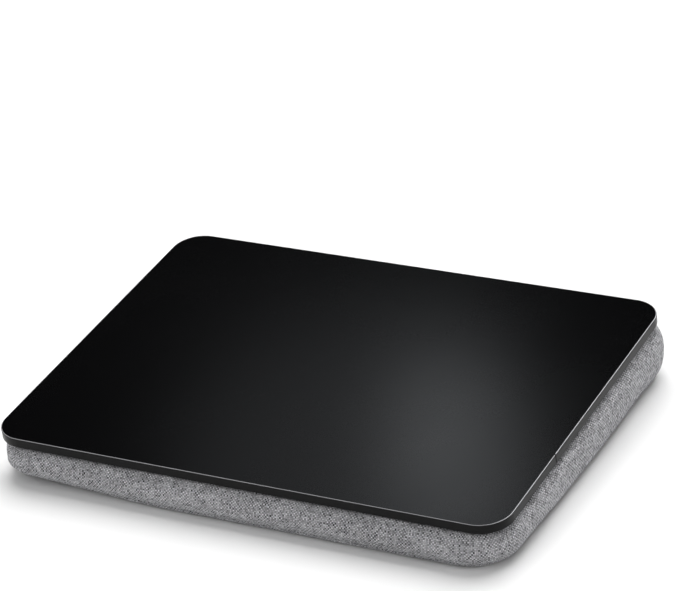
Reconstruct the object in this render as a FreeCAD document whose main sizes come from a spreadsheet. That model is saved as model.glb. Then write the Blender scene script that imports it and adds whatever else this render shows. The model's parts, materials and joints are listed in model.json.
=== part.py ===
import FreeCAD, Part
import math
import os
import Sketcher

# Lap tray: a banded black board on a wedge-shaped cushion with a zip at the back.
# Millimetres. X runs to the user's right, Y away from the user, Z up, and the origin is on the floor.

SIZES = {
    # board
    "board_width": 430.0,
    "board_depth": 312.0,
    "board_corner_radius": 24.0,
    "core_thickness": 7.2,
    "laminate_thickness": 0.4,
    "band_thickness": 1.0,
    "band_bevel": 0.6,
    "band_joint_gap": 0.5,
    "band_joint_from_front": 98.0,
    # cushion: heights run from the floor to the board's underside at the board's front and back edges
    "cushion_front_height": 29.0,
    "cushion_back_height": 48.0,
    "side_bulge": 2.0,
    "end_bulge": 7.5,
    "cushion_corner_radius": 37.0,
    "top_draw_in": 12.5,
    "bottom_draw_in": 7.0,
    "fabric_thickness": 1.0,
    "wadding_thickness": 5.0,
    "sewing_clearance": 0.2,
    # strips between the board and the cushion
    "hook_thickness": 0.8,
    "loop_thickness": 0.8,
    "strip_width": 25.0,
    "strip_length": 90.0,
    "strip_edge_margin": 30.0,
    # zip
    "zip_end_margin": 65.0,
    "back_strip_margin": 12.0,
    "zip_gap": 10.4,
    "tape_thickness": 0.5,
    "tape_width": 12.0,
    "tape_spacing": 3.2,
    "tooth_pitch": 3.0,
    "tooth_width": 1.2,
    "tooth_height": 4.2,
    "tooth_depth": 1.8,
    "tooth_overlap": 0.8,
    "stop_length": 3.0,
    "slider_length": 12.0,
    "slider_clearance": 0.3,
    "wing_thickness": 1.0,
    "flange_thickness": 0.8,
    "neck_width": 2.4,
    "neck_length": 3.0,
    "wing_rounding": 1.5,
    "bridge_length": 8.0,
    "bridge_width": 2.4,
    "bridge_thickness": 0.8,
    "pull_length": 26.0,
    "pull_width": 7.0,
    "pull_thickness": 1.0,
    "pull_rounding": 1.0,
    "pull_clearance": 0.4,
    # all cuts run this far past what they cut
    "cut_overrun": 20.0,
}

# The cushion's wall is upright over a middle band of its height, and rounds inwards above and below it.
WIDEST_SHARE = 0.5
UPRIGHT_SHARE = 0.24
TOP_TURN = math.radians(80)
BOTTOM_TURN = math.radians(65)
ROUND_STEPS = 4
# The pull is this much narrower at its waist than at its ends.
PULL_WAIST_SHARE = 0.7

doc = FreeCAD.newDocument("LapTray")
parts = []


def make_sheet():
    """Write the driving dimensions to a spreadsheet, one aliased cell each."""
    sheet = doc.addObject("Spreadsheet::Sheet", "Sizes")
    for row, (name, value) in enumerate(SIZES.items(), start=1):
        sheet.set(f"A{row}", name)
        sheet.set(f"B{row}", str(value))
        sheet.setAlias(f"B{row}", name)
    doc.recompute()
    return sheet


sheet = make_sheet()

# Lengths and angles that several pieces share, as expressions of the sheet.
TILT = "asin((Sizes.cushion_back_height - Sizes.cushion_front_height) / Sizes.board_depth)"
BOARD_RISE = "((Sizes.cushion_back_height + Sizes.cushion_front_height) / 2)"
ON_BOARD = f"placement(vector(0; 0; {BOARD_RISE}); rotationx({TILT}))"
BOARD_THICKNESS = "(Sizes.core_thickness + 2 * Sizes.laminate_thickness)"
BOARD_INSIDE = (
    "(Sizes.board_width - 2 * Sizes.band_thickness)",
    "(Sizes.board_depth - 2 * Sizes.band_thickness)",
    "(Sizes.board_corner_radius - Sizes.band_thickness)",
)
STRIP_STACK = "(Sizes.hook_thickness + Sizes.loop_thickness)"
FILL_RISE = f"({BOARD_RISE} - Sizes.fabric_thickness / cos({TILT}))"
CUSHION_WIDTH = "(Sizes.board_width + 2 * Sizes.side_bulge)"
CUSHION_DEPTH = "(Sizes.board_depth + 2 * Sizes.end_bulge)"
BACK_WALL = f"({CUSHION_DEPTH} / 2 * cos({WIDEST_SHARE} * {TILT}))"
LINING_GAP = "(Sizes.tape_thickness + 2 * Sizes.sewing_clearance)"
TOOTH_BASE = "(Sizes.fabric_thickness + Sizes.sewing_clearance / 2)"


def section_rise(share):
    """Height over the origin of the cushion section at that share of the filling's height."""
    return f"(Sizes.fabric_thickness + {share} * ({FILL_RISE} - Sizes.fabric_thickness))"


# The zip runs along the widest level of the back wall, in a gap between two strips of the cover.
# It ends short of the board's sides, and the two strips run a little past its ends.
ZIP_LENGTH = "(Sizes.board_width - 2 * Sizes.zip_end_margin)"
BACK_STRIP_LENGTH = f"({ZIP_LENGTH} + 2 * Sizes.back_strip_margin)"
ZIP_LEVEL = f"({section_rise(WIDEST_SHARE)} + {CUSHION_DEPTH} / 2 * sin({WIDEST_SHARE} * {TILT}))"
ZIP_LOW = f"({ZIP_LEVEL} - Sizes.zip_gap / 2)"
ZIP_HIGH = f"({ZIP_LEVEL} + Sizes.zip_gap / 2)"
# Levels outwards from the back wall and heights from the zip's middle line, for the slider and the pull.
TOOTH_FACE = f"(Sizes.tooth_depth - {TOOTH_BASE})"
WING_UNDER = f"({TOOTH_FACE} + Sizes.slider_clearance)"
WING_FACE = f"({WING_UNDER} + Sizes.wing_thickness)"
FLANGE_END = "(-Sizes.fabric_thickness + Sizes.sewing_clearance)"
CHANNEL = "(Sizes.tooth_height - Sizes.tooth_overlap + Sizes.slider_clearance)"
WING_HALF = f"({CHANNEL} + Sizes.flange_thickness)"
BRIDGE_HOLE = "(Sizes.pull_thickness + 2 * Sizes.pull_clearance)"
# Depths inwards from the back wall.
BACK_WING_TOP = f"(Sizes.fabric_thickness + {LINING_GAP} + Sizes.slider_clearance)"
BACK_WING_FACE = f"({BACK_WING_TOP} + Sizes.wing_thickness)"
# The slider stands at the zip's closed end.
SLIDER_FRONT = f"({ZIP_LENGTH} / 2)"
SLIDER_MIDDLE = f"({SLIDER_FRONT} - Sizes.slider_length / 2)"


def value(expression):
    """Number that an expression of the sheet gives now."""
    return float(sheet.evalExpression(expression))


def bind(item, **expressions):
    """Bind properties of an object to expressions of the sheet."""
    for name, expression in expressions.items():
        item.setExpression(name, expression)
    return item


def at(across="0", along="0", up="0", turn="0"):
    """Placement expression at a point, turned about X."""
    return f"placement(vector({across}; {along}; {up}); rotationx({turn}))"


def name_part(item, label):
    """Give a finished sub-part its label and list it for export."""
    item.Label = label
    parts.append(item)
    return item


def new_body(name):
    return doc.addObject("PartDesign::Body", name)


def new_sketch(body, name, role="XY_Plane", offset=None):
    """Empty sketch on one of the body's own origin planes, moved by a placement expression."""
    sketch = body.newObject("Sketcher::SketchObject", name)
    plane = next(item for item in body.Origin.OriginFeatures if item.Role == role)
    sketch.AttachmentSupport = [(plane, "")]
    sketch.MapMode = "FlatFace"
    if offset:
        sketch.setExpression("AttachmentOffset", offset)
    return sketch


def constrain(sketch, label, constraint, expression):
    """Add a dimension to a sketch and bind it to the sheet."""
    index = sketch.addConstraint(constraint)
    sketch.renameConstraint(index, label)
    sketch.setExpression(f"Constraints.{label}", expression)


def add_rounded_rectangle(sketch, label, width, depth, radius):
    """Draw a rounded rectangle about the sketch's origin: four lines and four tangent arcs."""
    half_w = value(width) / 2
    half_d = value(depth) / 2
    round_r = value(radius)
    inner_w = half_w - round_r
    inner_d = half_d - round_r
    vector = FreeCAD.Vector
    ends = (
        (vector(-inner_w, -half_d), vector(inner_w, -half_d)),
        (vector(half_w, -inner_d), vector(half_w, inner_d)),
        (vector(inner_w, half_d), vector(-inner_w, half_d)),
        (vector(-half_w, inner_d), vector(-half_w, -inner_d)),
    )
    centres = (
        vector(inner_w, -inner_d),
        vector(inner_w, inner_d),
        vector(-inner_w, inner_d),
        vector(-inner_w, -inner_d),
    )
    lines = [sketch.addGeometry(Part.LineSegment(*pair)) for pair in ends]
    arcs = []
    for quarter, centre in enumerate(centres):
        circle = Part.Circle(centre, vector(0, 0, 1), round_r)
        start = (quarter - 1) * math.pi / 2
        arcs.append(sketch.addGeometry(Part.ArcOfCircle(circle, start, start + math.pi / 2)))
    for quarter in range(4):
        sketch.addConstraint(Sketcher.Constraint("Tangent", lines[quarter], 2, arcs[quarter], 1))
        sketch.addConstraint(Sketcher.Constraint("Tangent", arcs[quarter], 2, lines[(quarter + 1) % 4], 1))
    for quarter in (0, 2):
        sketch.addConstraint(Sketcher.Constraint("Horizontal", lines[quarter]))
        sketch.addConstraint(Sketcher.Constraint("Vertical", lines[quarter + 1]))
    for quarter in range(3):
        sketch.addConstraint(Sketcher.Constraint("Equal", arcs[quarter], arcs[quarter + 1]))
    sketch.addConstraint(Sketcher.Constraint("Symmetric", lines[0], 1, lines[2], 1, -1, 1))
    across = Sketcher.Constraint("DistanceX", lines[3], 1, lines[1], 1, 2 * half_w)
    along = Sketcher.Constraint("DistanceY", lines[0], 1, lines[2], 1, 2 * half_d)
    constrain(sketch, f"{label}_width", across, width)
    constrain(sketch, f"{label}_depth", along, depth)
    constrain(sketch, f"{label}_radius", Sketcher.Constraint("Radius", arcs[0], round_r), radius)


def add_polygon(sketch, label, corners):
    """Draw a closed polygon whose corners are pairs of expressions, each bound to the sheet."""
    points = [FreeCAD.Vector(value(x), value(y), 0) for x, y in corners]
    sides = zip(points, points[1:] + points[:1])
    lines = [sketch.addGeometry(Part.LineSegment(start, end)) for start, end in sides]
    for line, following in zip(lines, lines[1:] + lines[:1]):
        sketch.addConstraint(Sketcher.Constraint("Coincident", line, 2, following, 1))
    for index, (x, y) in enumerate(corners):
        for axis, kind, expression in (("x", "DistanceX", x), ("y", "DistanceY", y)):
            place = value(expression)
            constraint = Sketcher.Constraint(kind, -1, 1, lines[index], 1, place)
            constrain(sketch, f"{label}_{index}_{axis}", constraint, expression)


def edges_along(feature, direction):
    """Names of a feature's straight edges nearer to a direction than to its square plane."""
    names = []
    for index, edge in enumerate(feature.Shape.Edges, start=1):
        way = edge.tangentAt(edge.FirstParameter)
        if abs(way.dot(direction)) > way.cross(direction).Length:
            names.append(f"Edge{index}")
    return names


def outer_edges(feature, reach):
    """Names of a feature's edges that run along Y at a height of plus or minus reach."""
    along_y = edges_along(feature, FreeCAD.Vector(0, 1, 0))
    heights = {name: abs(feature.Shape.getElement(name).CenterOfMass.z) for name in along_y}
    return [name for name, height in heights.items() if math.isclose(height, reach, rel_tol=1e-6)]


def pad(body, name, sketch, length, symmetric=False):
    """Pad a sketch of the body by a length expression."""
    feature = body.newObject("PartDesign::Pad", name)
    feature.Profile = sketch
    feature.SideType = "Symmetric" if symmetric else "One side"
    return bind(feature, Length=length)


def plate(label, width, depth, radius, bottom, thickness, placement):
    """Flat rounded plate, from a level of its own frame upwards."""
    body = new_body(label)
    sketch = new_sketch(body, f"{label}_outline", offset=at(up=bottom))
    add_rounded_rectangle(sketch, "plate", width, depth, radius)
    pad(body, f"{label}_pad", sketch, thickness)
    return bind(body, Placement=placement)


def block(name, length, width, height, placement):
    """Cutting or splitting block."""
    item = doc.addObject("Part::Box", name)
    return bind(item, Length=length, Width=width, Height=height, Placement=placement)


def boolean(kind, name, base, tool):
    """Part::Cut, Part::Fuse or Part::Common of two objects."""
    item = doc.addObject(kind, name)
    item.Base = base
    item.Tool = tool
    item.Refine = True
    return item


def cut(name, base, tool):
    return boolean("Part::Cut", name, base, tool)


def common(name, base, tool):
    return boolean("Part::Common", name, base, tool)


def board_plates():
    """Core board with a laminate on each face, all inside the edge band."""
    core_top = "(Sizes.laminate_thickness + Sizes.core_thickness)"
    layers = (
        ("underside_laminate", "0", "Sizes.laminate_thickness"),
        ("board_core", "Sizes.laminate_thickness", "Sizes.core_thickness"),
        ("top_laminate", core_top, "Sizes.laminate_thickness"),
    )
    for label, bottom, thickness in layers:
        name_part(plate(label, *BOARD_INSIDE, bottom, thickness, ON_BOARD), label)


def edge_band():
    """Band round the board's edge, bevelled on both arrises and closed by a butt joint on the right."""
    body = new_body("edge_band")
    ring = new_sketch(body, "band_ring")
    outer = ("Sizes.board_width", "Sizes.board_depth", "Sizes.board_corner_radius")
    add_rounded_rectangle(ring, "outer", *outer)
    add_rounded_rectangle(ring, "inner", *BOARD_INSIDE)
    band = pad(body, "band_pad", ring, BOARD_THICKNESS)
    doc.recompute()
    flat_faces = [face for face in band.Shape.Faces if math.isclose(abs(face.normalAt(0, 0).z), 1)]
    arrises = [edge for face in flat_faces for edge in face.OuterWire.Edges]
    names = [
        f"Edge{index}"
        for index, edge in enumerate(band.Shape.Edges, start=1)
        if any(edge.isSame(arris) for arris in arrises)
    ]
    bevel = body.newObject("PartDesign::Chamfer", "band_bevel")
    bevel.Base = (band, names)
    bind(bevel, Size="Sizes.band_bevel")
    gap = new_sketch(body, "band_joint")
    joint_y = "(Sizes.band_joint_from_front - Sizes.board_depth / 2)"
    inside = "(Sizes.board_width / 2 - Sizes.cut_overrun)"
    outside = "(Sizes.board_width / 2 + Sizes.cut_overrun)"
    low = f"({joint_y} - Sizes.band_joint_gap / 2)"
    high = f"({joint_y} + Sizes.band_joint_gap / 2)"
    add_polygon(gap, "gap", ((inside, low), (outside, low), (outside, high), (inside, high)))
    joint = body.newObject("PartDesign::Pocket", "band_joint_cut")
    joint.Profile = gap
    joint.Reversed = True
    bind(joint, Length=f"({BOARD_THICKNESS} + Sizes.cut_overrun)")
    doc.recompute()
    if joint.Shape.Volume >= bevel.Shape.Volume:
        raise RuntimeError("the joint takes nothing out of the edge band")
    bind(body, Placement=ON_BOARD)
    name_part(body, "edge_band")


def strips(label, bottom, thickness, margin="0"):
    """Four flat blocks near the board's corners: a fastening strip with a margin round it."""
    boxes = []
    across = "(Sizes.board_width / 2 - Sizes.strip_edge_margin - Sizes.strip_length / 2)"
    along = "(Sizes.board_depth / 2 - Sizes.strip_edge_margin - Sizes.strip_width / 2)"
    length = f"(Sizes.strip_length + 2 * {margin})"
    width = f"(Sizes.strip_width + 2 * {margin})"
    for side in (-1, 1):
        for end in (-1, 1):
            corner = at(f"({side} * {across} - {length} / 2)", f"({end} * {along} - {width} / 2)", bottom)
            boxes.append(block(f"{label}_{len(boxes)}", length, width, thickness, f"{ON_BOARD} * {corner}"))
    group = doc.addObject("Part::Compound", label)
    group.Links = boxes
    return group


def fastening():
    """Hook strips under the board and loop strips on the cushion, sunk in wells of the soft cushion."""
    hooks = strips("hook_strips", "-Sizes.hook_thickness", "Sizes.hook_thickness")
    loops = strips("loop_strips", f"-{STRIP_STACK}", "Sizes.loop_thickness")
    name_part(hooks, "hook_strips")
    name_part(loops, "loop_strips")
    inside = strips("well_inside", f"-{STRIP_STACK}", STRIP_STACK, "Sizes.sewing_clearance")
    depth = f"({STRIP_STACK} + Sizes.fabric_thickness)"
    outside = strips("well_outside", f"-{depth}", depth, "(Sizes.sewing_clearance + Sizes.fabric_thickness)")
    return inside, outside


def section_shares():
    """Cushion sections from the floor up: shares of the height, the bottom draw-in and the top draw-in."""
    shares = []
    low = WIDEST_SHARE - UPRIGHT_SHARE / 2
    high = WIDEST_SHARE + UPRIGHT_SHARE / 2
    for step in range(ROUND_STEPS, -1, -1):
        angle = BOTTOM_TURN * step / ROUND_STEPS
        height_share = low * (1 - math.sin(angle) / math.sin(BOTTOM_TURN))
        shares.append((height_share, (1 - math.cos(angle)) / (1 - math.cos(BOTTOM_TURN)), 0))
    for step in range(ROUND_STEPS + 1):
        angle = TOP_TURN * step / ROUND_STEPS
        height_share = high + (1 - high) * math.sin(angle) / math.sin(TOP_TURN)
        shares.append((height_share, 0, (1 - math.cos(angle)) / (1 - math.cos(TOP_TURN))))
    return shares


def cushion_form(name, inset):
    """Cushion between its panels, by an inset: a loft through sections that turn from floor to board."""
    body = new_body(name)
    sketches = []
    for index, (height_share, bottom_share, top_share) in enumerate(section_shares()):
        turn = f"({height_share} * {TILT})"
        sketch = new_sketch(body, f"{name}_{index}", offset=at(up=section_rise(height_share), turn=turn))
        drawn = f"({inset} + {bottom_share} * Sizes.bottom_draw_in + {top_share} * Sizes.top_draw_in)"
        add_rounded_rectangle(
            sketch,
            "section",
            f"({CUSHION_WIDTH} - 2 * {drawn})",
            f"({CUSHION_DEPTH} - 2 * {drawn})",
            f"(Sizes.cushion_corner_radius - {drawn})",
        )
        sketches.append(sketch)
    loft = body.newObject("PartDesign::AdditiveLoft", f"{name}_loft")
    loft.Profile = sketches[0]
    loft.Sections = sketches[1:]
    loft.Ruled = True
    return body


def back_block(name, low, high):
    """Block over the back wall between two levels, for cutting the pieces that meet at the zip."""
    front = f"({BACK_WALL} - Sizes.cushion_corner_radius / 2)"
    depth = "(Sizes.cushion_corner_radius / 2 + Sizes.cut_overrun)"
    corner = at(f"-{BACK_STRIP_LENGTH} / 2", front, low)
    return block(name, BACK_STRIP_LENGTH, depth, f"({high} - {low})", corner)


def panel_outline(draw_in):
    """Width, depth and corner radius of a flat panel that is drawn in from the widest level."""
    return (
        f"({CUSHION_WIDTH} - 2 * {draw_in})",
        f"({CUSHION_DEPTH} - 2 * {draw_in})",
        f"(Sizes.cushion_corner_radius - {draw_in})",
    )


def cover_panels(well_inside, well_outside):
    """Flat panels of the cover: the lining under the board, with the strips' wells, and the floor panel."""
    thickness = "Sizes.fabric_thickness"
    lining = plate("lining", *panel_outline("Sizes.top_draw_in"), f"-{thickness}", thickness, ON_BOARD)
    welled = boolean("Part::Fuse", "lining_with_wells", lining, well_outside)
    name_part(cut("cover_top_panel", welled, well_inside), "cover_top_panel")
    bottom = plate("cover_bottom_panel", *panel_outline("Sizes.bottom_draw_in"), "0", thickness, at())
    name_part(bottom, "cover_bottom_panel")


def cover_wall():
    """Sewn wall of the cover: a band round the front and sides, and two strips at the back for the zip."""
    outside = cushion_form("cover_outside", "0")
    inside = cushion_form("cover_inside", "Sizes.fabric_thickness")
    wall = cut("cover_wall", outside, inside)
    floor = "-Sizes.cut_overrun"
    roof = "(Sizes.cushion_back_height + Sizes.cut_overrun)"
    name_part(cut("cover_side_band", wall, back_block("back_opening", floor, roof)), "cover_side_band")
    name_part(common("cover_back_upper", wall, back_block("above_zip", ZIP_HIGH, roof)), "cover_back_upper")
    name_part(common("cover_back_lower", wall, back_block("below_zip", floor, ZIP_LOW)), "cover_back_lower")


# Foam: inside the wadding at the narrow top of the cushion, so that its plain upright sides stay covered.
FOAM_INSET = f"(Sizes.fabric_thickness + {LINING_GAP} + Sizes.wadding_thickness + Sizes.top_draw_in)"


def foam_wedge():
    """Wedge of foam with upright sides and rounded corners."""
    body = new_body("foam_wedge")
    half_depth = f"({CUSHION_DEPTH} / 2 - {FOAM_INSET})"
    low = "(Sizes.fabric_thickness + Sizes.wadding_thickness)"
    middle = f"({FILL_RISE} - Sizes.wadding_thickness / cos({TILT}))"
    rise = f"{half_depth} * tan({TILT})"
    side = new_sketch(body, "foam_side", role="YZ_Plane")
    corners = (
        (f"-{half_depth}", low),
        (half_depth, low),
        (half_depth, f"({middle} + {rise})"),
        (f"-{half_depth}", f"({middle} - {rise})"),
    )
    add_polygon(side, "side", corners)
    wedge = pad(body, "foam_pad", side, f"({CUSHION_WIDTH} - 2 * {FOAM_INSET})", symmetric=True)
    doc.recompute()
    rounding = body.newObject("PartDesign::Fillet", "foam_corners")
    rounding.Base = (wedge, edges_along(wedge, FreeCAD.Vector(0, 0, 1)))
    bind(rounding, Radius=f"(Sizes.cushion_corner_radius - {FOAM_INSET})")
    return name_part(body, "foam_wedge")


def wadding(foam, well_outside):
    """Wadding in two halves, from the foam out to the cover, hollow behind the zip and under the wells."""
    form = cushion_form("filling_form", f"(Sizes.fabric_thickness + {LINING_GAP})")
    hollow = cut("wadding_round_foam", form, foam)
    under_wells = cut("wadding_under_wells", hollow, well_outside)
    relief_depth = f"({BACK_WING_FACE} + Sizes.slider_clearance)"
    relief = block(
        "zip_relief",
        BACK_STRIP_LENGTH,
        f"({relief_depth} + Sizes.cut_overrun)",
        "Sizes.zip_gap",
        at(f"-{BACK_STRIP_LENGTH} / 2", f"({BACK_WALL} - {relief_depth})", ZIP_LOW),
    )
    whole = cut("wadding", under_wells, relief)
    turn = f"({WIDEST_SHARE} * {TILT})"
    corner = at(f"-{CUSHION_WIDTH} / 2", f"-{CUSHION_DEPTH} / 2", f"-{CUSHION_DEPTH}")
    middle = at(up=section_rise(WIDEST_SHARE), turn=turn)
    lower = block("lower_half", CUSHION_WIDTH, CUSHION_DEPTH, CUSHION_DEPTH, f"{middle} * {corner}")
    name_part(cut("upper_wadding", whole, lower), "upper_wadding")
    name_part(common("lower_wadding", whole, lower), "lower_wadding")


def zip_tapes():
    """Two tapes inside the back wall, with a narrow space between them for the slider's neck."""
    outer_inset = "(Sizes.fabric_thickness + Sizes.sewing_clearance)"
    inner_inset = f"({outer_inset} + Sizes.tape_thickness)"
    outside = cushion_form("tape_outside", outer_inset)
    inside = cushion_form("tape_inside", inner_inset)
    shell = cut("tape_shell", outside, inside)
    near = "Sizes.tape_spacing / 2"
    far = "(Sizes.tape_spacing / 2 + Sizes.tape_width)"
    above = back_block("tape_above", f"({ZIP_LEVEL} + {near})", f"({ZIP_LEVEL} + {far})")
    below = back_block("tape_below", f"({ZIP_LEVEL} - {far})", f"({ZIP_LEVEL} - {near})")
    name_part(common("zip_tape_upper", shell, above), "zip_tape_upper")
    name_part(common("zip_tape_lower", shell, below), "zip_tape_lower")


def zip_teeth():
    """Two interleaved rows of teeth on the tapes' outer faces, up to the neck of the closed slider."""
    pitch = value("Sizes.tooth_pitch")
    width = value("Sizes.tooth_width")
    height = value("Sizes.tooth_height")
    depth = value("Sizes.tooth_depth")
    overlap = value("Sizes.tooth_overlap")
    base = value(f"{BACK_WALL} - {TOOTH_BASE}")
    level = value(ZIP_LEVEL)
    start = value(f"-{ZIP_LENGTH} / 2 + Sizes.stop_length + Sizes.slider_clearance")
    end = value(f"{SLIDER_FRONT} - Sizes.neck_length - Sizes.slider_clearance")
    count = int((end - start - width) / (pitch / 2)) + 1
    rows = {1: [], -1: []}
    for index in range(count):
        side = 1 if index % 2 else -1
        bottom = level - overlap if side > 0 else level + overlap - height
        corner = FreeCAD.Vector(start + index * pitch / 2, base, bottom)
        rows[side].append(Part.makeBox(width, depth, height, corner))
    for side, label in ((1, "zip_teeth_upper"), (-1, "zip_teeth_lower")):
        row = doc.addObject("Part::Feature", label)
        row.Shape = Part.makeCompound(rows[side])
        name_part(row, label)


def zip_stops():
    """A stop on each tape at the closed end, and one across both tapes at the open end."""
    base = f"({BACK_WALL} - {TOOTH_BASE})"
    near = "Sizes.tape_spacing / 2"
    height = f"(Sizes.tooth_height - Sizes.tooth_overlap - {near})"
    tops = []
    for side, low in ((1, f"({ZIP_LEVEL} + {near})"), (-1, f"({ZIP_LEVEL} - {near} - {height})")):
        place = at(f"({SLIDER_FRONT} + Sizes.slider_clearance)", base, low)
        tops.append(block(f"top_stop_{len(tops)}", "Sizes.stop_length", "Sizes.tooth_depth", height, place))
    pair = doc.addObject("Part::Compound", "zip_top_stops")
    pair.Links = tops
    name_part(pair, "zip_top_stops")
    full = "2 * (Sizes.tooth_height - Sizes.tooth_overlap)"
    place = at(f"-{ZIP_LENGTH} / 2", base, f"({ZIP_LEVEL} - {full} / 2)")
    single = block("zip_bottom_stop", "Sizes.stop_length", "Sizes.tooth_depth", full, place)
    name_part(single, "zip_bottom_stop")


def zip_slider():
    """Slider: two wings joined by a neck at the closing end, side flanges and a bridge for the pull."""
    body = new_body("zip_slider")
    front = "Sizes.slider_length / 2"
    neck = new_sketch(body, "slider_neck")
    neck_back = f"({front} - Sizes.neck_length)"
    neck_corners = (
        (neck_back, f"-{BACK_WING_TOP}"),
        (front, f"-{BACK_WING_TOP}"),
        (front, WING_UNDER),
        (neck_back, WING_UNDER),
    )
    add_polygon(neck, "neck", neck_corners)
    pad(body, "slider_neck_pad", neck, "Sizes.neck_width", symmetric=True)
    outer = new_sketch(body, "slider_front_wing", role="YZ_Plane")
    channel_corners = (
        (WING_FACE, f"-{WING_HALF}"),
        (WING_FACE, WING_HALF),
        (FLANGE_END, WING_HALF),
        (FLANGE_END, CHANNEL),
        (WING_UNDER, CHANNEL),
        (WING_UNDER, f"-{CHANNEL}"),
        (FLANGE_END, f"-{CHANNEL}"),
        (FLANGE_END, f"-{WING_HALF}"),
    )
    add_polygon(outer, "wing", channel_corners)
    pad(body, "slider_front_wing_pad", outer, "Sizes.slider_length", symmetric=True)
    inner = new_sketch(body, "slider_back_wing", role="YZ_Plane")
    back_corners = (
        (f"-{BACK_WING_FACE}", f"-{WING_HALF}"),
        (f"-{BACK_WING_TOP}", f"-{WING_HALF}"),
        (f"-{BACK_WING_TOP}", WING_HALF),
        (f"-{BACK_WING_FACE}", WING_HALF),
    )
    add_polygon(inner, "wing", back_corners)
    wings = pad(body, "slider_back_wing_pad", inner, "Sizes.slider_length", symmetric=True)
    doc.recompute()
    rounding = body.newObject("PartDesign::Fillet", "slider_rounding")
    rounding.Base = (wings, outer_edges(wings, value(WING_HALF)))
    bind(rounding, Radius="Sizes.wing_rounding")
    bridge = new_sketch(body, "slider_bridge")
    half = "Sizes.bridge_length / 2"
    leg = f"({half} - Sizes.bridge_thickness)"
    hole_top = f"({WING_FACE} + {BRIDGE_HOLE})"
    crown = f"({hole_top} + Sizes.bridge_thickness)"
    arch = (
        (f"-{half}", WING_FACE),
        (f"-{leg}", WING_FACE),
        (f"-{leg}", hole_top),
        (leg, hole_top),
        (leg, WING_FACE),
        (half, WING_FACE),
        (half, hole_top),
        (leg, crown),
        (f"-{leg}", crown),
        (f"-{half}", hole_top),
    )
    add_polygon(bridge, "bridge", arch)
    pad(body, "slider_bridge_pad", bridge, "Sizes.bridge_width", symmetric=True)
    bind(body, Placement=at(SLIDER_MIDDLE, BACK_WALL, ZIP_LEVEL))
    name_part(body, "zip_slider")


def zip_pull():
    """Pull tab: its round end bar lies under the slider's bridge, and the tab points along the closed zip."""
    body = new_body("zip_pull")
    reach = f"sqrt(pow(Sizes.bridge_length / 2; 2) + pow({BRIDGE_HOLE} / 2 + Sizes.bridge_thickness; 2))"
    bar = "Sizes.pull_thickness / 2"
    eye_end = f"({reach} + Sizes.pull_clearance)"
    eye_half = "(Sizes.bridge_width / 2 + Sizes.pull_clearance)"
    half = "Sizes.pull_width / 2"
    neck = f"({half} * {PULL_WAIST_SHARE})"
    waist = f"({eye_end} + {half})"
    tab = new_sketch(body, "pull_tab", role="XZ_Plane")
    outline = (
        ("0", half),
        (f"-({eye_end} + {bar})", half),
        (f"-{waist}", neck),
        (f"-({waist} + {half})", neck),
        (f"-(Sizes.pull_length - {half})", half),
        (f"-(Sizes.pull_length - {half} / 2)", half),
        ("-Sizes.pull_length", f"{half} / 2"),
        ("-Sizes.pull_length", f"-{half} / 2"),
        (f"-(Sizes.pull_length - {half} / 2)", f"-{half}"),
        (f"-(Sizes.pull_length - {half})", f"-{half}"),
        (f"-({waist} + {half})", f"-{neck}"),
        (f"-{waist}", f"-{neck}"),
        (f"-({eye_end} + {bar})", f"-{half}"),
        ("0", f"-{half}"),
        ("0", f"-{eye_half}"),
        (f"-{eye_end}", f"-{eye_half}"),
        (f"-{eye_end}", eye_half),
        ("0", eye_half),
    )
    add_polygon(tab, "tab", outline)
    flat = pad(body, "pull_pad", tab, "Sizes.pull_thickness", symmetric=True)
    doc.recompute()
    corners = outer_edges(flat, value(half))
    on_bar = [name for name in corners if abs(flat.Shape.getElement(name).CenterOfMass.x) < value(bar)]
    rounding = body.newObject("PartDesign::Fillet", "pull_rounding")
    rounding.Base = (flat, [name for name in corners if name not in on_bar])
    bind(rounding, Radius="Sizes.pull_rounding")
    ring = new_sketch(body, "pull_bar")
    circle = ring.addGeometry(Part.Circle(FreeCAD.Vector(), FreeCAD.Vector(0, 0, 1), value(bar)))
    ring.addConstraint(Sketcher.Constraint("Coincident", circle, 3, -1, 1))
    constrain(ring, "bar_radius", Sketcher.Constraint("Radius", circle, value(bar)), bar)
    pad(body, "pull_bar_pad", ring, "Sizes.pull_width", symmetric=True)
    bind(body, Placement=at(SLIDER_MIDDLE, f"({BACK_WALL} + {WING_FACE} + {BRIDGE_HOLE} / 2)", ZIP_LEVEL))
    name_part(body, "zip_pull")


def export():
    """Check every object and write one file for each sub-part."""
    doc.recompute()
    failed = [item.Name for item in doc.Objects if {"Invalid", "Error"} & set(item.State)]
    if failed:
        raise RuntimeError(f"objects failed: {failed}")
    for item in parts:
        if item.Shape.isNull() or not item.Shape.isValid() or not item.Shape.Solids:
            raise RuntimeError(f"bad shape: {item.Label}")
    os.makedirs("parts", exist_ok=True)
    for item in parts:
        item.Shape.exportStep(f"parts/{item.Label}.step")
        print(f"{item.Label}: {len(item.Shape.Solids)} solids, {item.Shape.Volume:.1f} mm3")


board_plates()
edge_band()
well_inside, well_outside = fastening()
cover_panels(well_inside, well_outside)
cover_wall()
foam = foam_wedge()
wadding(foam, well_outside)
zip_tapes()
zip_teeth()
zip_stops()
zip_slider()
zip_pull()
export()
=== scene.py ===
import json
import math

import bpy
import numpy as np
from mathutils import Matrix, Vector, noise


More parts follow.
